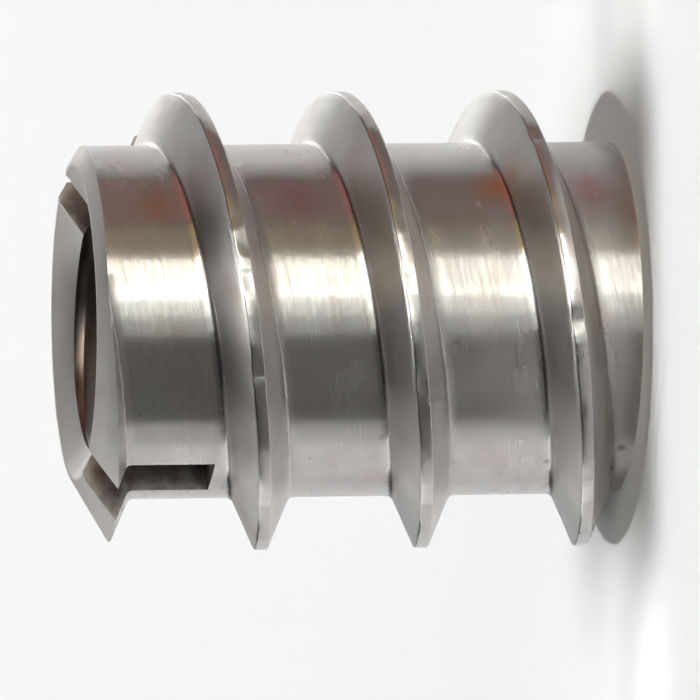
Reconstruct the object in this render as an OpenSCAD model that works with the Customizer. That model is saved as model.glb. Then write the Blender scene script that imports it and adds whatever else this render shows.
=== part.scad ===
// Slotted threaded insert for wood, of the knife-thread kind.
// A short steel bush: a coarse, sharp thread outside that cuts its own way into a
// drilled hole, a bore for a machine screw right through, and a slot sawn across one
// end for the driver. It stands on its plain end, with the slot up.
// The outer thread runs on past both ends of the blank that the insert is parted from,
// so it has no run-out: each end face cuts it off at whatever height it has there. The
// slotted end is turned to a blunt cone as well, through the thread and into the barrel,
// and a wide countersink leads into the bore, so only a narrow flat rim is left there.

/* [Body] */
// Length over both end faces
length = 12.7; // [6:0.1:40]
// Diameter of the plain barrel between the turns of the thread
body_d = 8.24; // [6.8:0.02:20]

/* [Slotted end] */
// Radial width of the outer chamfer, measured inwards from the barrel
nose_cut = 0.36; // [0.05:0.01:0.6]
// Angle between the outer chamfer and the plane of the end
nose_angle = 31; // [15:1:55]
// Width of the flat rim between the outer chamfer and the mouth of the bore
rim_w = 0.14; // [0.05:0.01:0.4]
// Angle between the mouth's countersink and the plane of the end
mouth_angle = 30; // [15:1:60]

/* [Plain end] */
// Radial width of the chamfer at the bore's mouth
foot_cut = 0.45; // [0.1:0.05:1.4]
// Angle between that chamfer and the plane of the end
foot_angle = 45; // [15:1:60]

/* [Wood thread] */
// Advance of the thread in one turn
thread_pitch = 3.79; // [2.2:0.01:8]
// Height of the thread above the barrel
thread_h = 1.22; // [0.3:0.01:3]
// Width of the thread where it leaves the barrel
thread_base = 1.38; // [0.4:0.01:2.6]
// Width of the narrow land along its crest
crest_w = 0.3; // [0.05:0.01:1.2]
// Angle at which the crest runs out through the slotted face
thread_turn = 231; // [0:1:360]

/* [Bore] */
// Diameter of the bore, at the tapping size of its machine thread
bore_d = 5.1; // [2:0.05:7]

/* [Driver slot] */
// Width of the slot
slot_w = 1.3; // [0.5:0.05:4]
// Depth of the slot below the end face
slot_depth = 2.9; // [0.5:0.05:5.5]
// Angle of the slot across the end
slot_turn = 27.5; // [0:0.5:180]

/* [Smoothness] */
// Steps in one turn of the wood thread, a multiple of four
turn_steps = 72; // [24:4:120]

/* [Hidden] */
$fn = 96;
past = 0.5;                             // how far a cutter passes the face it cuts
root_sink = 0.4;                        // how deep the ridge is rooted in the barrel
body_r = body_d / 2;
bore_r = bore_d / 2;
crest_r = body_r + thread_h;
nose_r = body_r - nose_cut;
mouth_r = nose_r - rim_w;
foot_r = bore_r + foot_cut;
turned_r = crest_r + past;              // beyond everything that stands on the barrel
nose_h = (turned_r - nose_r) * tan(nose_angle);
// the ridge narrows on its way out, by this much on each side for each unit of height
flank = (thread_base - crest_w) / 2 / thread_h;
crest_half = crest_w / 2;
root_half = thread_base / 2 + flank * root_sink;
// the blank runs past both end faces by more than half the ridge's width
spare = root_half + 0.3;
step_turn = 360 / turn_steps;
first_step = floor((thread_turn - 360 * (length + spare) / thread_pitch) / step_turn);
last_step = ceil((thread_turn + 360 * spare / thread_pitch) / step_turn);

// Height of the middle of the crest at one step of the helix
function crest_z(step) = length + thread_pitch * (step * step_turn - thread_turn) / 360;

// The four corners of the ridge's section at one step: root, crest, crest, root
function section(step) =
    let (turn = step * step_turn, z = crest_z(step))
    [for (corner = [[body_r - root_sink, -root_half], [crest_r, -crest_half],
                    [crest_r, crest_half], [body_r - root_sink, root_half]])
        [corner[0] * cos(turn), corner[0] * sin(turn), z + corner[1]]];

// One closed ridge: the section carried along the helix from step to step
module wood_thread() {
    steps = last_step - first_step;
    points = [for (step = [first_step : last_step]) each section(step)];
    sides = [for (i = [0 : steps - 1], corner = [0 : 3])
        let (a = 4 * i + corner, b = 4 * i + (corner + 1) % 4)
        each [[a, b, a + 4], [b, b + 4, a + 4]]];
    end = 4 * steps;
    ends = [[0, 3, 2, 1], [end, end + 1, end + 2, end + 3]];
    polyhedron(points = points, faces = concat(sides, ends), convexity = 10);
}

// The threaded blank before it is parted
module blank() {
    translate([0, 0, -spare]) cylinder(r = body_r, h = length + 2 * spare);
    wood_thread();
}

// The space that the lathe tool leaves: between the two parting cuts, under the nose cone
module turned_space() {
    rotate_extrude()
        polygon([[0, 0], [turned_r, 0], [turned_r, length - nose_h], [nose_r, length],
                 [0, length]]);
}

// A countersink that opens upwards from the bore to a radius in the plane z = 0
module countersink(face_r, angle) {
    slope = tan(angle);
    depth = (face_r - bore_r) * slope;
    translate([0, 0, -depth])
        cylinder(r1 = bore_r, r2 = face_r + past, h = depth + past * slope);
}

// The bore right through, with a countersink at each mouth
module bore() {
    translate([0, 0, -past]) cylinder(r = bore_r, h = length + 2 * past);
    translate([0, 0, length]) countersink(mouth_r, mouth_angle);
    mirror([0, 0, 1]) countersink(foot_r, foot_angle);
}

// The driver slot across the whole end, through both walls and the thread on them
module driver_slot() {
    across = 2 * turned_r;
    rotate([0, 0, slot_turn])
        translate([-across / 2, -slot_w / 2, length - slot_depth])
            cube([across, slot_w, slot_depth + past]);
}

module insert() {
    color("silver")
        difference() {
            intersection() {
                blank();
                turned_space();
            }
            bore();
            driver_slot();
        }
}

insert();
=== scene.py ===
# %% [markdown]
# # A slotted threaded insert, turned from bright steel
# The insert is a short bush. Its coarse outer thread cuts its own way into wood, a
# machine screw runs in its tapped bore, and a slot across the top takes the driver.
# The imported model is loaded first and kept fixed, and the new mesh is fitted to it.

# %% Load the frame
import math
import random

import bmesh
import bpy
from mathutils import Matrix, Vector
from mathutils.kdtree import KDTree


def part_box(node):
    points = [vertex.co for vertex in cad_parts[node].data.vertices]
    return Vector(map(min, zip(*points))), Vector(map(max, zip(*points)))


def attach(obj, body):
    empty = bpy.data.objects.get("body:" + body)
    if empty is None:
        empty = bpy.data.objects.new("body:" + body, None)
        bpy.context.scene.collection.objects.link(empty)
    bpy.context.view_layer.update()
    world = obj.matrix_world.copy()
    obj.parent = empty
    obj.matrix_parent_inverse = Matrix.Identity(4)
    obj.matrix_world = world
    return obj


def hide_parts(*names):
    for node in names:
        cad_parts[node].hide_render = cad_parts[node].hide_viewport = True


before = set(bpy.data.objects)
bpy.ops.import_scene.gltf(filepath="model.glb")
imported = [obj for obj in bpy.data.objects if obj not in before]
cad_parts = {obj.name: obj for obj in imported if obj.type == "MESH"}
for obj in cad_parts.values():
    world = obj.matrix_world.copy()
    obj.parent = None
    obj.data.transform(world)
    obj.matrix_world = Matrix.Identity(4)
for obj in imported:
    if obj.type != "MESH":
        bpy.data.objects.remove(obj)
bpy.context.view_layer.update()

low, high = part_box("insert")
print("insert from", tuple(low), "to", tuple(high))

# %% [markdown]
# ## The sizes
# A turned part is a handful of radii and lengths, so they are named once here. The
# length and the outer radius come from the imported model; the rest are the turner's own
# sizes, in millimetres, because a mesh this small is easier to read and to cut in them.

# %% Sizes in millimetres
MM = 0.001
LENGTH = (high[2] - low[2]) / MM
CREST_R = high[0] / MM
BARREL_R = 4.12
WOOD_PITCH = 3.79
WOOD_BASE = 1.38            # width of the ridge where it leaves the barrel
WOOD_LAND = 0.3             # width of the narrow land along its crest
RUN_OUT = 231.0             # degrees round to where the crest leaves the slotted face
BORE_R = 2.55               # tapping size of the machine thread
BORE_ROOT_R = 2.97          # bottom of the machine thread's grooves
BORE_PITCH = 1.27
BORE_BASE = 0.74            # width of a groove at the bore's wall
BORE_LAND = 0.24            # width of its flat bottom
MOUTH_R, MOUTH_DEG = 3.62, 30.0     # the countersink in the slotted end, and its angle
FOOT_R, FOOT_DEG = 3.0, 45.0        # the countersink in the plain end
NOSE_R, NOSE_DEG = 3.76, 31.0       # the outer chamfer round the slotted end
SLOT_W = 1.3
SLOT_DEPTH = 2.9
SLOT_TURN = 27.5            # degrees from +X to the slot
print(f"length {LENGTH:.2f} mm, over the crest {2 * CREST_R:.2f} mm")

# %% [markdown]
# ## Finishes before shapes
# The insert is one piece of steel, but four tools have touched it: the threading tool,
# the facing tool, the tap and the slitting saw. Each leaves its own marks, so each gets
# its own material. All meshes carry the same four slots in the same order, and then a
# Boolean cut keeps the finish of the cutter on the surface that it leaves behind.

# %% Four empty materials
THREADED, FACED, TAPPED, SAWN = range(4)
finishes = []
for name in ("threaded steel", "faced steel", "tapped steel", "sawn steel"):
    finish = bpy.data.materials.new(name)
    finish.use_nodes = True
    finish.node_tree.nodes.clear()
    finishes.append(finish)
print("finishes:", [f.name for f in finishes])

# %% [markdown]
# ## Threads by spinning
# A thread is one section carried round the axis while it climbs. The spin operator does
# just that: its dvec moves each step up a little, so the section sweeps out a helix. It
# spans one whole pitch, so each turn meets the next along a seam, and merging the
# doubles closes it. Bevelling the section's corners first gives the root and the crest
# the small radii that a real cutting tip leaves.

# %% One helical surface
CORNER_CUTS = 3             # edges that stand for each rounded corner
EXTRA_TURNS = 3             # turns that are wound beyond the length of the part
MERGE = 1e-4                # how near two points are that become one
SQUARE_ON = 0.999           # how upright a face's normal is where the ends are faced


def section(bm, corners, rounding, longest):
    """A chain of edges through (radius, height) corners, the inner ones rounded."""
    verts = [bm.verts.new((r, 0.0, z)) for r, z in corners]
    anchor = bm.verts.new((min(r for r, _ in corners) - 1.0, 0.0, 0.0))
    bm.faces.new([*verts, anchor])      # the bevel works on the corners of a face
    for vert, radius in zip(verts[1:-1], rounding):
        bmesh.ops.bevel(bm, geom=[vert], offset=radius, offset_type="OFFSET",
                        affect="VERTICES", segments=CORNER_CUTS, profile=0.5, material=-1)
    bmesh.ops.delete(bm, geom=list(bm.faces), context="FACES_ONLY")
    helpers = [v for v in bm.verts if v.co.x < anchor.co.x + 1e-6]
    bmesh.ops.delete(bm, geom=helpers, context="VERTS")
    for edge in list(bm.edges):
        cuts = math.ceil(edge.calc_length() / longest) - 1
        if cuts > 0:
            bmesh.ops.subdivide_edges(bm, edges=[edge], cuts=cuts)


def threaded_rod(corners, rounding, longest, pitch, start_deg, start_z, steps, ends, finish):
    """A closed rod, in millimetres, with the section wound round it and both ends cut."""
    bm = bmesh.new()
    section(bm, corners, rounding, longest)
    bmesh.ops.rotate(bm, verts=bm.verts, cent=(0, 0, 0),
                     matrix=Matrix.Rotation(math.radians(start_deg), 3, "Z"))
    bmesh.ops.translate(bm, verts=bm.verts, vec=(0, 0, start_z))
    bmesh.ops.spin(bm, geom=[*bm.verts, *bm.edges], cent=(0, 0, 0), axis=(0, 0, 1),
                   dvec=(0, 0, pitch / steps), angle=2 * math.pi, steps=steps, use_merge=False)
    one_turn = [*bm.verts, *bm.edges, *bm.faces]
    for turn in range(1, math.ceil(LENGTH / pitch) + EXTRA_TURNS):
        copy = bmesh.ops.duplicate(bm, geom=one_turn)["geom"]
        bmesh.ops.translate(bm, verts=[v for v in copy if isinstance(v, bmesh.types.BMVert)],
                            vec=(0, 0, turn * pitch))
    bmesh.ops.remove_doubles(bm, verts=bm.verts, dist=MERGE)
    for height, side in zip(ends, (-1, 1)):
        cut = bmesh.ops.bisect_plane(bm, geom=[*bm.verts, *bm.edges, *bm.faces], dist=1e-6,
                                     plane_co=(0, 0, height), plane_no=(0, 0, side),
                                     clear_outer=True)
        rim = [e for e in cut["geom_cut"] if isinstance(e, bmesh.types.BMEdge)]
        bmesh.ops.edgeloop_fill(bm, edges=rim)
    bmesh.ops.recalc_face_normals(bm, faces=bm.faces)
    for face in bm.faces:
        face.material_index = FACED if abs(face.normal.z) > SQUARE_ON else finish
    return bm


def as_object(bm, name):
    """The bmesh as an object, with its size still in millimetres."""
    mesh = bpy.data.meshes.new(name)
    bm.to_mesh(mesh)
    bm.free()
    for material in finishes:
        mesh.materials.append(material)
    obj = bpy.data.objects.new(name, mesh)
    bpy.context.scene.collection.objects.link(obj)
    return obj


# %% [markdown]
# ## The outer thread
# The blank is threaded past both ends and then parted off, so each end face slices the
# ridge at whatever height it has there. That is why the section is wound for more turns
# than the part is long, and cut afterwards, instead of being faded out.

# %% The blank with its wood thread
WOOD_STEPS = 200            # steps in one turn
WOOD_EDGE = 0.16            # longest edge along the section
ROOT_ROUND, CREST_ROUND = 0.1, 0.035

half_pitch, half_base, half_land = WOOD_PITCH / 2, WOOD_BASE / 2, WOOD_LAND / 2
wood_corners = [(BARREL_R, -half_pitch), (BARREL_R, -half_base), (CREST_R, -half_land),
                (CREST_R, half_land), (BARREL_R, half_base), (BARREL_R, half_pitch)]
wood_rounding = (ROOT_ROUND, CREST_ROUND, CREST_ROUND, ROOT_ROUND)
below = 2 * WOOD_PITCH      # the first turn starts this far under the plain end, or less
first_z = -below + (LENGTH + below - WOOD_PITCH * RUN_OUT / 360) % WOOD_PITCH
rod = as_object(threaded_rod(wood_corners, wood_rounding, WOOD_EDGE, WOOD_PITCH, 0.0, first_z,
                             WOOD_STEPS, (0.0, LENGTH), THREADED), "rod")
print("blank:", len(rod.data.polygons), "faces")

# %% [markdown]
# ## The tap
# The bore holds a fine machine thread. The tap that cuts it is a second threaded rod,
# with a smaller section, and it is longer than the part at both ends, so that it cuts
# right through.

# %% The tap
TAP_STEPS = 96
TAP_EDGE = 0.3
TAP_START = 40.0            # degrees round to where its first turn starts
TAP_BELOW = 1.6             # turns from there up to the plain end
TAP_ROOT_ROUND, TAP_CREST_ROUND = 0.05, 0.04
SPARE = 0.5                 # how far a cutter passes the face it cuts

tap_corners = [(BORE_R, -BORE_PITCH / 2), (BORE_R, -BORE_BASE / 2),
               (BORE_ROOT_R, -BORE_LAND / 2), (BORE_ROOT_R, BORE_LAND / 2),
               (BORE_R, BORE_BASE / 2), (BORE_R, BORE_PITCH / 2)]
tap_rounding = (TAP_ROOT_ROUND, TAP_CREST_ROUND, TAP_CREST_ROUND, TAP_ROOT_ROUND)
tap = as_object(threaded_rod(tap_corners, tap_rounding, TAP_EDGE, BORE_PITCH, TAP_START,
                             -TAP_BELOW * BORE_PITCH, TAP_STEPS, (-SPARE, LENGTH + SPARE),
                             TAPPED), "tap")
print("tap:", len(tap.data.polygons), "faces")

# %% [markdown]
# ## The other cutters
# The two countersinks and the driver slot are closed solids too, and a Boolean modifier
# subtracts them, as the tools did. The outer chamfer is one wide cone, and the blank
# keeps only what lies inside it, so the barrel and the ridge are cut in one pass.

# %% The cones and the slot
CONE_SIDES = 180
LAP = 0.02                  # how far a countersink starts inside the bore's wall


def cone(name, foot, top):
    """A closed cone on the axis, from one (radius, height) to another above it."""
    bm = bmesh.new()
    bmesh.ops.create_cone(bm, cap_ends=True, segments=CONE_SIDES, radius1=foot[0],
                          radius2=top[0], depth=top[1] - foot[1])
    bmesh.ops.translate(bm, verts=bm.verts, vec=(0, 0, (foot[1] + top[1]) / 2))
    for face in bm.faces:
        face.material_index = FACED
    return as_object(bm, name)


mouth_slope = math.tan(math.radians(MOUTH_DEG))
foot_slope = math.tan(math.radians(FOOT_DEG))
nose_slope = math.tan(math.radians(NOSE_DEG))
top_sink = cone("countersink", (BORE_R - LAP, LENGTH - (MOUTH_R - BORE_R + LAP) * mouth_slope),
                (MOUTH_R + SPARE, LENGTH + SPARE * mouth_slope))
foot_sink = cone("countersink", (FOOT_R + SPARE, -SPARE * foot_slope),
                 (BORE_R - LAP, (FOOT_R - BORE_R + LAP) * foot_slope))
nose = cone("nose", (NOSE_R + (LENGTH + SPARE) / nose_slope, -SPARE),
            (NOSE_R - SPARE / nose_slope, LENGTH + SPARE))

bm = bmesh.new()
bmesh.ops.create_cube(bm, size=1.0)
bmesh.ops.scale(bm, verts=bm.verts, vec=(2 * (CREST_R + SPARE), SLOT_W, SLOT_DEPTH + SPARE))
bmesh.ops.translate(bm, verts=bm.verts, vec=(0, 0, LENGTH + (SPARE - SLOT_DEPTH) / 2))
bmesh.ops.rotate(bm, verts=bm.verts, cent=(0, 0, 0),
                 matrix=Matrix.Rotation(math.radians(SLOT_TURN), 3, "Z"))
for face in bm.faces:
    face.material_index = SAWN
slot = as_object(bm, "slot")
cutters = [nose, tap, top_sink, foot_sink, slot]
print("cutters:", [c.name for c in cutters])

# %% [markdown]
# ## Cutting
# Reading the modified mesh back from the dependency graph gives one plain, closed mesh,
# so no modifier and no cutter is left in the scene. A closed mesh has no open edge,
# which is worth printing, because a Boolean cut is where a mesh usually breaks.

# %% Cut the blank
CUT_MERGE = 2e-5            # how near two points of a cut are that become one

for cutter in cutters:
    cut = rod.modifiers.new(cutter.name, "BOOLEAN")
    cut.operation = "INTERSECT" if cutter == nose else "DIFFERENCE"
    cut.solver, cut.object = "EXACT", cutter
graph = bpy.context.evaluated_depsgraph_get()
whole = bpy.data.meshes.new_from_object(rod.evaluated_get(graph))
for scrap in [rod, *cutters]:
    bpy.data.objects.remove(scrap)
bm = bmesh.new()
bm.from_mesh(whole)
bmesh.ops.remove_doubles(bm, verts=bm.verts, dist=CUT_MERGE)
print("cut:", len(bm.faces), "faces, open edges:", sum(not e.is_manifold for e in bm.edges))

# %% [markdown]
# ## Handling marks
# A sharp crest is bruised by every other insert in the box. Each bruise is a soft, shallow
# dent: the points near a spot on the crest move towards the axis, most in the middle.
# Modelled dents catch the light as real ones do, also when the part is turned. A few
# large ones are listed, and the many small ones come from a seeded random
# generator, so every run of the script bruises the crest in the same places.

# %% Bruise the crest
# the large ones: degrees back from the run-out, then reach and depth in millimetres
LARGE_BRUISES = ((334, 0.42, 0.09), (697, 0.36, 0.08), (1042, 0.4, 0.07),
                 (310, 0.3, 0.05), (672, 0.25, 0.05))
SMALL_BRUISES = 150
OFF_MIDDLE = 0.12           # how far a small one may lie above or below the crest's middle
SMALL_REACH = (0.18, 0.4)
SMALL_DEPTH = (0.008, 0.035)


def crest_point(turn_deg):
    """The spot on the crest at an angle, counted in degrees back from the run-out."""
    angle = math.radians(RUN_OUT - turn_deg)
    return Vector((CREST_R * math.cos(angle), CREST_R * math.sin(angle),
                   LENGTH - WOOD_PITCH * turn_deg / 360))


def bruise(spot, reach, depth):
    """Push the points within reach of a spot towards the axis by up to depth."""
    inwards = -Vector((spot.x, spot.y, 0)).normalized()
    for _, index, distance in points.find_range(spot, reach):
        bm.verts[index].co += inwards * depth * (1 - (distance / reach) ** 2) ** 2


bm.verts.ensure_lookup_table()
points = KDTree(len(bm.verts))
for vert in bm.verts:
    points.insert(vert.co, vert.index)
points.balance()
for turn_deg, reach, depth in LARGE_BRUISES:
    bruise(crest_point(turn_deg), reach, depth)
rng = random.Random(7)
crest_turn = 360 * LENGTH / WOOD_PITCH      # degrees that the crest winds over the length
for _ in range(SMALL_BRUISES):
    spot = crest_point(rng.uniform(0, crest_turn))
    spot += Vector((0, 0, rng.uniform(-OFF_MIDDLE, OFF_MIDDLE)))
    bruise(spot, rng.uniform(*SMALL_REACH), rng.uniform(*SMALL_DEPTH))
print("crest bruised, now over", round(2 * max(v.co.xy.length for v in bm.verts), 3), "mm")

# %% [markdown]
# ## One finished piece
# The mesh goes from millimetres to metres, so that the object itself keeps a scale of
# one. It is smooth-shaded, with every edge above about thirty degrees left sharp: the
# rims, the slot and the parted ends stay crisp, and the helix looks round.

# %% The insert
SHARP_DEG = 32

bmesh.ops.scale(bm, verts=bm.verts, vec=(MM, MM, MM))
bm.to_mesh(whole)
bm.free()
whole.name = "turned_insert"
whole.shade_smooth()
whole.set_sharp_from_angle(angle=math.radians(SHARP_DEG))
insert = bpy.data.objects.new("turned_insert", whole)
bpy.context.scene.collection.objects.link(insert)
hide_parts("insert")
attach(insert, "root")
print("insert:", sum(len(p.vertices) - 2 for p in whole.polygons), "triangles,",
      "materials", [m.name for m in whole.materials])

# %% [markdown]
# ## Helpers for materials
# Every finish below is a small web of nodes, and these helpers keep each cell readable.
# They add a node and plug its inputs, do a sum with numbers or with vectors, spread a
# range of values over another, read a noise, mix two colours, and start and use a group.
# Patterns read Object coordinates, scaled so that one unit is a millimetre, so they stay
# on the steel when the part is moved or exported. The noise has a fourth coordinate, w,
# which here mostly picks another stretch of it, so that no two patterns are alike.

# %% Node helpers
def add(tree, kind, plugs, **settings):
    """A new node; plugs maps an input to a value or to another node's output."""
    node = tree.nodes.new(kind)
    for key, value in settings.items():
        setattr(node, key, value)
    for key, value in plugs.items():
        if isinstance(value, bpy.types.NodeSocket):
            tree.links.new(value, node.inputs[key])
        else:
            node.inputs[key].default_value = value
    return node


def maths(tree, operation, *values):
    return add(tree, "ShaderNodeMath", dict(enumerate(values)), operation=operation).outputs[0]


def vectors(tree, operation, *values):
    """A sum with vectors; a length or a distance comes out as a number."""
    output = "Value" if operation in ("LENGTH", "DISTANCE") else "Vector"
    node = add(tree, "ShaderNodeVectorMath", dict(enumerate(values)), operation=operation)
    return node.outputs[output]


def spread(tree, value, start, end, to_start=0.0, to_end=1.0):
    plugs = {"Value": value, "From Min": start, "From Max": end,
             "To Min": to_start, "To Max": to_end}
    return add(tree, "ShaderNodeMapRange", plugs).outputs[0]


def noise(tree, point, scale, detail=2.0, w=0.0, roughness=0.5):
    plugs = {"Vector": point, "W": w, "Scale": scale, "Detail": detail, "Roughness": roughness}
    return add(tree, "ShaderNodeTexNoise", plugs, noise_dimensions="4D").outputs["Fac"]


def tint(tree, amount, first, second):
    """Mixes two colours; amount 0 gives the first one."""
    return add(tree, "ShaderNodeMix", {0: amount, 6: first, 7: second},
               data_type="RGBA").outputs[2]


def new_group(name, inputs, outputs):
    """An empty shader group with the named sockets; each kind is Float, Vector or Color."""
    tree = bpy.data.node_groups.new(name, "ShaderNodeTree")
    for sockets, way in ((inputs, "INPUT"), (outputs, "OUTPUT")):
        for title, kind in sockets.items():
            tree.interface.new_socket(name=title, in_out=way, socket_type="NodeSocket" + kind)
    given = tree.nodes.new("NodeGroupInput").outputs
    return tree, given, tree.nodes.new("NodeGroupOutput").inputs


def use_group(tree, group, plugs):
    return add(tree, "ShaderNodeGroup", plugs, node_tree=group).outputs


# %% [markdown]
# ## Group: marks of a threading tool
# A tool that cuts a thread leaves fine lines along the helix, so the pattern must be the
# same all along one helix and change across it. Turning each point back by the angle
# that the thread has gained at its height does that: every point of one helix lands on
# the same bearing. The bearing is used as a point on a circle, not as an angle, so the
# lines have no seam. A slow fourth coordinate makes them start and stop.

# %% Group: helical marks
ALONG = 0.45                # how fast that fourth coordinate runs, in each millimetre
SKEW = 0.7                  # how much of it comes from Y, for one part from X

helical, given, result = new_group(
    "helical marks", {"Point": "Vector", "Pitch": "Float", "Fineness": "Float"},
    {"Marks": "Float"})
axes = add(helical, "ShaderNodeSeparateXYZ", {0: given["Point"]}).outputs
gained = maths(helical, "DIVIDE", maths(helical, "MULTIPLY", axes[2], 2 * math.pi),
               given["Pitch"])
turned = add(helical, "ShaderNodeVectorRotate",
             {"Vector": given["Point"], "Angle": maths(helical, "MULTIPLY", gained, -1.0)},
             rotation_type="Z_AXIS").outputs[0]
flat = vectors(helical, "MULTIPLY", turned, (1, 1, 0))
radius = vectors(helical, "LENGTH", flat)
bearing = vectors(helical, "NORMALIZE", flat)
round_the_turn = maths(helical, "MULTIPLY", given["Fineness"],
                       maths(helical, "DIVIDE", given["Pitch"], 2 * math.pi))
ring = add(helical, "ShaderNodeVectorMath", {0: bearing, "Scale": round_the_turn},
           operation="SCALE").outputs[0]
outwards = add(helical, "ShaderNodeCombineXYZ",
               {"Z": maths(helical, "MULTIPLY", radius, given["Fineness"])}).outputs[0]
across_marks = vectors(helical, "ADD", ring, outwards)
x_and_y = maths(helical, "ADD", axes[0], maths(helical, "MULTIPLY", axes[1], SKEW))
along_marks = maths(helical, "MULTIPLY", x_and_y, ALONG)
marks = noise(helical, across_marks, 1.0, detail=3.0, w=along_marks, roughness=0.6)
helical.links.new(spread(helical, marks, 0.3, 0.7), result["Marks"])

# %% [markdown]
# ## Group: blemishes
# Steel that has been cut wet and stored loose is never one grey. Thin films of oil and
# the first bloom of rust give warm and purplish patches, tiny pits hold dirt, and a
# fine grain makes the edge of every reflection a little ragged. The group puts out five
# masks, and each finish decides how strongly it uses them.

# %% Group: blemishes
blemish, given, result = new_group(
    "blemishes", {"Point": "Vector"},
    {"Cloud": "Float", "Warm": "Float", "Purple": "Float", "Pits": "Float", "Grain": "Float"})
cloud = noise(blemish, given["Point"], 1.1, detail=3.0, w=2.0)
warm = noise(blemish, given["Point"], 0.7, detail=3.0, w=11.0)
purple = noise(blemish, given["Point"], 0.8, detail=3.0, w=23.0)
grain = noise(blemish, given["Point"], 6.0, detail=2.0, w=41.0)
cells = add(blemish, "ShaderNodeTexVoronoi",
            {"Vector": given["Point"], "Scale": 1.6, "Randomness": 1.0}).outputs
where = noise(blemish, given["Point"], 1.3, detail=1.0, w=31.0)
pits = maths(blemish, "MULTIPLY", spread(blemish, cells["Distance"], 0.08, 0.03),
             spread(blemish, where, 0.52, 0.66))
masks = {"Cloud": spread(blemish, cloud, 0.25, 0.75), "Warm": spread(blemish, warm, 0.48, 0.75),
         "Purple": spread(blemish, purple, 0.45, 0.75), "Pits": pits, "Grain": grain}
for title, value in masks.items():
    blemish.links.new(value, result[title])

# %% [markdown]
# ## Group: rubbed edges and painted shade in corners
# Pointiness tells how sharply the mesh bends at a point. Edges that stick out rub bright
# in the hand and the box; hollow corners are darkened, as painted shade and as the oil and
# dust that they keep. A noise breaks both up, because real wear is never an even outline.

# %% Group: rubbed edges and shaded corners
edges, given, result = new_group("edge wear and corner shade", {"Point": "Vector"},
                                 {"Rubbed": "Float", "Shade and grime": "Float"})
bend = add(edges, "ShaderNodeNewGeometry", {}).outputs["Pointiness"]
uneven = spread(edges, noise(edges, given["Point"], 3.0, detail=3.0, w=5.0), 0.3, 0.7, 0.35, 1.0)
# the second mask marks the hollow corners, which are darkened as painted shade and grime
for title, start, end in (("Rubbed", 0.515, 0.56), ("Shade and grime", 0.49, 0.45)):
    edges.links.new(maths(edges, "MULTIPLY", spread(edges, bend, start, end), uneven),
                    result[title])
print("groups:", [g.name for g in bpy.data.node_groups])

# %% [markdown]
# ## The steel itself
# All four finishes are the same steel, so one function builds them. What differs is the
# pattern of the tool marks, how bright and how rough the cut is, and how much dirt it
# holds. Turned steel shines in a streak across its marks: the marks spread a reflection
# at right angles to themselves. The shader's anisotropy does that if its tangent lies
# across the marks, which for marks that run round the axis is the cross product of the
# normal with the direction round the axis.

# %% Build a finish
PAINTED_LIGHT_TONE, RUBBED = (0.85, 0.83, 0.80), (0.72, 0.70, 0.67)      # painted light on the flanks and ends, and steel rubbed at the edges
PURPLE, WARM = (0.33, 0.24, 0.27), (0.46, 0.33, 0.22)       # films of oil and rust
# painted shade: the first colour darkens hollow corners, as shade and grime
GRIME_AND_SHADE, PIT_DIRT = (0.10, 0.085, 0.08), (0.12, 0.10, 0.09)
FLANK_ROUGHER = 0.16                    # how much rougher a flank is than the barrel


def point_in_mm(tree):
    place = add(tree, "ShaderNodeTexCoord", {}).outputs["Object"]
    scale = (1 / MM, 1 / MM, 1 / MM)
    return add(tree, "ShaderNodeMapping", {"Vector": place, "Scale": scale}).outputs[0]


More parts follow.
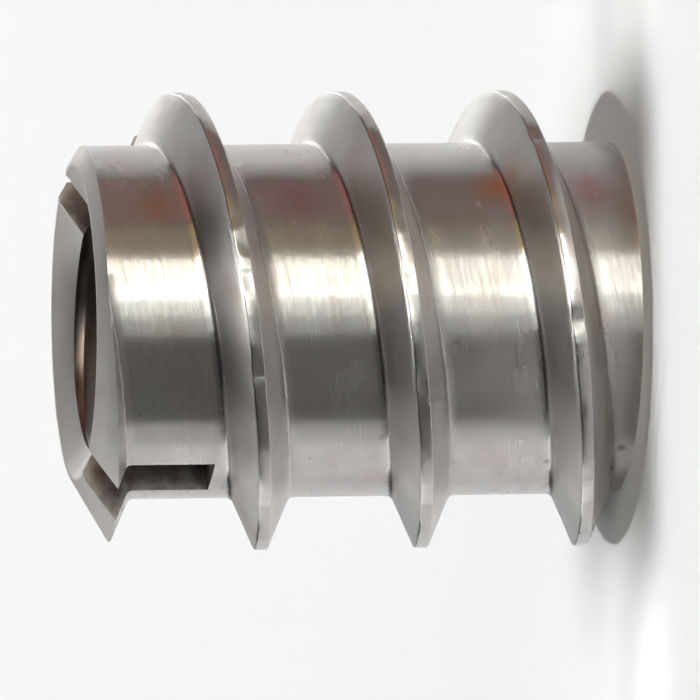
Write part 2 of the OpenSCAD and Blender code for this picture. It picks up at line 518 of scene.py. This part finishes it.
def build_steel(material, point, fine, coarse, dark, light, rough, anisotropy, relief, stain,
                painted_light=0.0, spots=()):
    """Wires one finish. rough is (smoothest, roughest), relief the marks' depth in metres.
    bare is how far the surfaces that face up or down are painted lighter, as painted light."""
    tree = material.node_tree

    def times(first, second):
        return maths(tree, "MULTIPLY", first, second)

    def plus(first, second):
        return maths(tree, "ADD", first, second)

    spoilt = use_group(tree, blemish, {"Point": point})
    wear_and_shade = use_group(tree, edges, {"Point": point})
    coords = add(tree, "ShaderNodeTexCoord", {}).outputs
    normal_z = add(tree, "ShaderNodeSeparateXYZ", {0: coords["Normal"]}).outputs[2]
    flank = spread(tree, maths(tree, "ABSOLUTE", normal_z), 0.3, 0.8)
    streak = plus(times(coarse, 0.6), times(fine, 0.4))
    shade = plus(times(streak, 0.5), times(spoilt["Cloud"], 0.5))

    colour = tint(tree, shade, (*dark, 1), (*light, 1))
    # painted light: the flanks and the faced ends, which face up or down, are painted lighter;
    # the purple and warm films are stains
    for mask, amount, layer_colour in ((flank, painted_light, PAINTED_LIGHT_TONE), (spoilt["Purple"], stain, PURPLE),
                               (spoilt["Warm"], stain, WARM)):
        colour = tint(tree, times(mask, amount), colour, (*layer_colour, 1))
    for place, reach, amount, layer_colour in spots:
        away = plus(vectors(tree, "DISTANCE", point, place), times(shade, 0.5 * reach))
        patch = spread(tree, away, 1.25 * reach, 0.3 * reach, 0.0, amount)
        colour = tint(tree, patch, colour, (*layer_colour, 1))
    # painted shade: hollow corners are darkened, as shade and grime; pits hold dirt and edges
    # rub lighter
    for mask, amount, layer_colour in ((wear_and_shade["Shade and grime"], 0.6, GRIME_AND_SHADE), (spoilt["Pits"], 0.5, PIT_DIRT),
                               (wear_and_shade["Rubbed"], 0.7, RUBBED)):
        colour = tint(tree, times(mask, amount), colour, (*layer_colour, 1))

    roughness = plus(spread(tree, shade, 0.2, 0.8, *rough), times(flank, FLANK_ROUGHER))
    grip = times(spread(tree, flank, 0.0, 1.0, 1.0, 0.5), anisotropy)
    height = maths(tree, "SUBTRACT", plus(streak, spoilt["Grain"]), spoilt["Pits"])
    bump = add(tree, "ShaderNodeBump",
               {"Height": height, "Distance": relief, "Strength": 1.0}).outputs[0]
    round_axis = vectors(tree, "CROSS_PRODUCT", (0, 0, 1), coords["Object"])
    normal = add(tree, "ShaderNodeNewGeometry", {}).outputs["Normal"]
    tangent = vectors(tree, "NORMALIZE", vectors(tree, "CROSS_PRODUCT", normal, round_axis))
    shader = add(tree, "ShaderNodeBsdfPrincipled",
                 {"Base Color": colour, "Metallic": 1.0, "Roughness": roughness,
                  "Normal": bump, "Anisotropic": grip, "Tangent": tangent})
    add(tree, "ShaderNodeOutputMaterial", {"Surface": shader.outputs[0]})
    print(material.name, "has", len(tree.nodes), "nodes")


# %% [markdown]
# ## The threaded surface
# Barrel, flanks and crest were cut by one tool that travelled along the helix. It is the
# smoothest finish. A few orange and maroon patches and some small dark spots sit where
# they would be noticed first, on the barrel between the turns.

# %% Threaded steel
ORANGE, MAROON, DARK_SPOT = (0.62, 0.30, 0.12), (0.50, 0.22, 0.26), (0.06, 0.045, 0.04)
# each patch: its middle and its reach in millimetres, how strong it is, and its colour
COLOUR_PATCHES = (((3.04, -2.79, 3.2), 0.75, 0.75, ORANGE), ((2.7, -3.1, 11.2), 0.8, 0.5, ORANGE),
          ((2.8, -3.0, 7.9), 0.9, 0.5, MAROON), ((3.04, -2.8, 1.0), 0.7, 0.5, MAROON),
          ((-3.04, -2.78, 0.3), 0.16, 0.8, DARK_SPOT), ((-3.5, -2.2, 0.45), 0.13, 0.8, DARK_SPOT),
          ((-3.34, -2.42, 2.0), 0.14, 0.7, DARK_SPOT))


def helical_marks(tree, point, pitch, fineness):
    return use_group(tree, helical,
                     {"Point": point, "Pitch": pitch, "Fineness": fineness})["Marks"]


tree = finishes[THREADED].node_tree
point = point_in_mm(tree)
build_steel(finishes[THREADED], point, fine=helical_marks(tree, point, WOOD_PITCH, 9.0),
            coarse=helical_marks(tree, point, WOOD_PITCH, 2.6), dark=(0.44, 0.42, 0.405),
            light=(0.54, 0.53, 0.515), rough=(0.2, 0.3), anisotropy=0.85, relief=2.5e-6,
            stain=0.3, painted_light=0.55, spots=COLOUR_PATCHES)

# %% [markdown]
# ## The faced ends
# The parting tool, the chamfering tool and the countersinks turn about the axis and
# don't travel round a helix, so their marks are rings. A ring has one radius and one
# height, so those two are the pattern's coordinates.

# %% Faced steel
def ring_marks(tree, point, fineness):
    axes = add(tree, "ShaderNodeSeparateXYZ", {0: point}).outputs
    radius = vectors(tree, "LENGTH", vectors(tree, "MULTIPLY", point, (1, 1, 0)))
    rings = add(tree, "ShaderNodeCombineXYZ",
                {"X": maths(tree, "MULTIPLY", radius, fineness),
                 "Y": maths(tree, "MULTIPLY", axes[2], fineness)}).outputs[0]
    slow = maths(tree, "MULTIPLY", maths(tree, "ADD", axes[0], axes[1]), 0.4)
    return spread(tree, noise(tree, rings, 1.0, detail=2.0, w=slow), 0.3, 0.7)


tree = finishes[FACED].node_tree
point = point_in_mm(tree)
build_steel(finishes[FACED], point, fine=ring_marks(tree, point, 10.0),
            coarse=ring_marks(tree, point, 4.0), dark=(0.60, 0.58, 0.55),
            light=(0.72, 0.70, 0.67), rough=(0.28, 0.40), anisotropy=0.4, relief=2.5e-6,
            stain=0.3, painted_light=0.6)

# %% [markdown]
# ## The tapped bore
# The bore's steel is painted darker and browner, as painted shade for the inside of the hole,
# and its fine marks follow the machine thread's own pitch.

# %% Tapped steel
tree = finishes[TAPPED].node_tree
point = point_in_mm(tree)
# painted shade: the dark colours stand for the shade inside the bore
build_steel(finishes[TAPPED], point, fine=helical_marks(tree, point, BORE_PITCH, 12.0),
            coarse=helical_marks(tree, point, BORE_PITCH, 4.0), dark=(0.22, 0.19, 0.18),
            light=(0.36, 0.32, 0.30), rough=(0.28, 0.42), anisotropy=0.5, relief=2e-6,
            stain=0.5)

# %% [markdown]
# ## The sawn slot
# A slitting saw passes straight across, so its marks are lines along the slot, and the
# pattern is stretched along that direction. The cut is dull and holds more stain, and its steel
# is painted nearly black as painted shade down in the narrow slot.

# %% Sawn steel
def saw_marks(tree, point, fineness):
    lined_up = add(tree, "ShaderNodeVectorRotate",
                   {"Vector": point, "Angle": math.radians(-SLOT_TURN)},
                   rotation_type="Z_AXIS").outputs[0]
    stretched = vectors(tree, "MULTIPLY", lined_up, (0.5, fineness, fineness))
    return spread(tree, noise(tree, stretched, 1.0, detail=2.0), 0.3, 0.7)


tree = finishes[SAWN].node_tree
point = point_in_mm(tree)
# painted shade: the very dark colours stand for the shade down in the slot
build_steel(finishes[SAWN], point, fine=saw_marks(tree, point, 9.0),
            coarse=saw_marks(tree, point, 4.0), dark=(0.08, 0.065, 0.06),
            light=(0.15, 0.13, 0.12), rough=(0.5, 0.65), anisotropy=0.0, relief=3e-6,
            stain=0.5)

# %% [markdown]
# ## The floor
# A plain pale sheet, large enough to fill the view from every side.

# %% Floor
FLOOR_HALF = 1.5            # metres from its middle to each edge
FLOOR_GREY, FLOOR_ROUGH = 0.74, 0.9

bm = bmesh.new()
bmesh.ops.create_grid(bm, x_segments=1, y_segments=1, size=FLOOR_HALF)
sheet = bpy.data.meshes.new("floor")
bm.to_mesh(sheet)
bm.free()
floor = bpy.data.objects.new("floor", sheet)
bpy.context.scene.collection.objects.link(floor)
paper = bpy.data.materials.new("pale floor")
paper.use_nodes = True
paper_inputs = paper.node_tree.nodes["Principled BSDF"].inputs
paper_inputs["Base Color"].default_value = (FLOOR_GREY, FLOOR_GREY, FLOOR_GREY, 1)
paper_inputs["Roughness"].default_value = FLOOR_ROUGH
sheet.materials.append(paper)
print("floor:", 2 * FLOOR_HALF, "m wide")

# %% [markdown]
# ## The camera
# A part this small is seen through a long lens from about a foot away, which keeps its
# sides nearly parallel. The camera is turned on its side, so that the insert's axis lies
# across the picture with the slotted end at the left, and looks down on it by about
# nine degrees. It is moved a little sideways instead of shifting the lens.

# %% Camera
TILT, ROLL = math.radians(9.47), math.radians(0.62)
DISTANCE, VIEW_WIDTH = 0.3048, 0.016355     # in metres
ASIDE, DROP = 0.000158, 0.000699            # how far the view's middle is from the insert's
SENSOR = 36                                 # in millimetres

centre = Vector((0, 0, LENGTH * MM / 2))
forward = Vector((0, math.cos(TILT), -math.sin(TILT)))
level = Vector((0, -math.sin(TILT), -math.cos(TILT)))
right = level * math.cos(ROLL) - Vector((math.sin(ROLL), 0, 0))
up = level * math.sin(ROLL) + Vector((math.cos(ROLL), 0, 0))
eye = centre + right * ASIDE - up * DROP - forward * DISTANCE
camera = bpy.data.objects.new("camera", bpy.data.cameras.new("camera"))
bpy.context.scene.collection.objects.link(camera)
turn = Matrix((right, up, -forward)).transposed().to_4x4()
camera.matrix_world = Matrix.Translation(eye) @ turn
camera.data.sensor_width = SENSOR
camera.data.lens = SENSOR * DISTANCE / VIEW_WIDTH
camera.data.clip_start, camera.data.clip_end = 0.01, 10
bpy.context.scene.camera = camera
print(f"lens {camera.data.lens:.0f} mm, eye at", tuple(round(c, 4) for c in eye))

# %% [markdown]
# ## The light
# Polished metal shows its surroundings, so the light is laid out by what each side of
# the barrel should mirror. Soft panels stand round the part like screens round a table:
# a bright, low one to the front right makes the long highlight, and weaker ones beside
# it let the highlight fade. Tan and reddish screens warm the side towards +X, pale ones
# to the sides and behind light the edges, and a few high ones light the thread's flanks.
# The gaps between them stay dark and give the metal its depth.

# %% Panels
def panel(name, bearing, distance, low, high, wide, glow, colour=(1, 1, 1)):
    """A soft panel that faces the part; bearing 0 is the camera's side, 90 is +X.
    low, high and wide are degrees, as seen from the part."""
    middle = math.radians((low + high) / 2)
    turn = math.radians(bearing)
    width = 2 * distance * math.cos(middle) * math.tan(math.radians(wide / 2))
    height = 2 * distance * math.tan(math.radians((high - low) / 2))
    lamp = bpy.data.lights.new(name, "AREA")
    lamp.shape, lamp.size, lamp.size_y = "RECTANGLE", width, height
    lamp.energy, lamp.color = glow * math.pi * width * height, colour
    obj = bpy.data.objects.new(name, lamp)
    away = Vector((math.cos(middle) * math.sin(turn), -math.cos(middle) * math.cos(turn),
                   math.sin(middle)))
    obj.location = centre + away * distance
    obj.rotation_euler = away.to_track_quat("Z", "Y").to_euler()
    bpy.context.scene.collection.objects.link(obj)


panel("key", 28, 0.3, low=0, high=13, wide=25, glow=12.8, colour=(1, 0.98, 0.87))
panel("front fill", 12, 0.5, low=0, high=13, wide=18, glow=6.6, colour=(0.97, 1, 0.94))
panel("fill's edge", -3, 0.5, low=0, high=13, wide=12, glow=2.4, colour=(0.96, 1, 0.96))
panel("tan screen", 52, 0.5, low=0, high=20, wide=24, glow=0.9, colour=(1, 0.72, 0.3))
panel("red screen", 88, 0.5, low=0, high=20, wide=44, glow=0.68, colour=(1, 0.38, 0.32))
panel("left side", -105, 0.5, low=0, high=20, wide=36, glow=1.8)
panel("right side", 142, 0.5, low=0, high=20, wide=40, glow=1.35)
panel("back right", 165, 0.5, low=0, high=22, wide=30, glow=1.6)
panel("back left", -170, 0.5, low=0, high=20, wide=16, glow=0.5)
panel("overhead", 155, 0.6, low=28, high=68, wide=64, glow=0.42)
panel("high left", -150, 0.6, low=22, high=55, wide=44, glow=0.85)
panel("high front left", -90, 0.6, low=22, high=50, wide=40, glow=0.35)
print("panels:", len(bpy.data.lights))

# %% [markdown]
# ## The light on the sheet
# The sheet is lit by a bank of lamps low overhead that shine straight down in a narrow
# beam. The bank stops short in front, so the barrel has something dark to mirror there,
# and it has a gap over the part, because the countersink would throw its light at the
# camera. Three small lamps fill in the patch of sheet just in front of the part.

# %% The bank over the sheet
BANK_UP = 50                # height of the bank, in millimetres
SHEET_GLOW = 0.96


def bank(name, turn_deg, x, y, spread_deg=8):
    """A lamp that shines straight down; x and y are its sides in mm, before the turn."""
    lamp = bpy.data.lights.new(name, "AREA")
    lamp.shape, lamp.size, lamp.size_y = "RECTANGLE", (x[1] - x[0]) * MM, (y[1] - y[0]) * MM
    lamp.spread = math.radians(spread_deg)
    lamp.energy = SHEET_GLOW * math.pi * lamp.size * lamp.size_y
    obj = bpy.data.objects.new(name, lamp)
    middle = Vector(((x[0] + x[1]) / 2, (y[0] + y[1]) / 2, BANK_UP)) * MM
    turn = Matrix.Rotation(math.radians(turn_deg), 4, "Z")
    obj.matrix_world = turn @ Matrix.Translation(middle)
    bpy.context.scene.collection.objects.link(obj)


bank("rear bank", 22, x=(-120, 120), y=(5.5, 170))
bank("left bank", 22, x=(-120, -4.5), y=(0, 5.5))
bank("right bank", 22, x=(4.5, 120), y=(-3, 5.5))
bank("front bank", 0, x=(-10.5, 9.6), y=(-14.3, -5.5), spread_deg=6)
bank("front right bank", 0, x=(6, 13), y=(-6, -0.5), spread_deg=5)
bank("front left bank", 0, x=(-13, -6), y=(-6, -3), spread_deg=5)
print("lamps in all:", len(bpy.data.lights))

# %% [markdown]
# ## The room
# A dim, even glow from all round keeps the gaps between the panels from going quite
# black, as the walls of a real room do. The Standard view shows each tone as it is lit.

# %% Room
ROOM_GLOW = 0.02

world = bpy.data.worlds.new("room")
world.use_nodes = True
background = world.node_tree.nodes["Background"].inputs
background["Color"].default_value = (0.9, 0.88, 0.88, 1)
background["Strength"].default_value = ROOM_GLOW
bpy.context.scene.world = world
bpy.context.scene.view_settings.view_transform = "Standard"
print("room glow:", ROOM_GLOW)
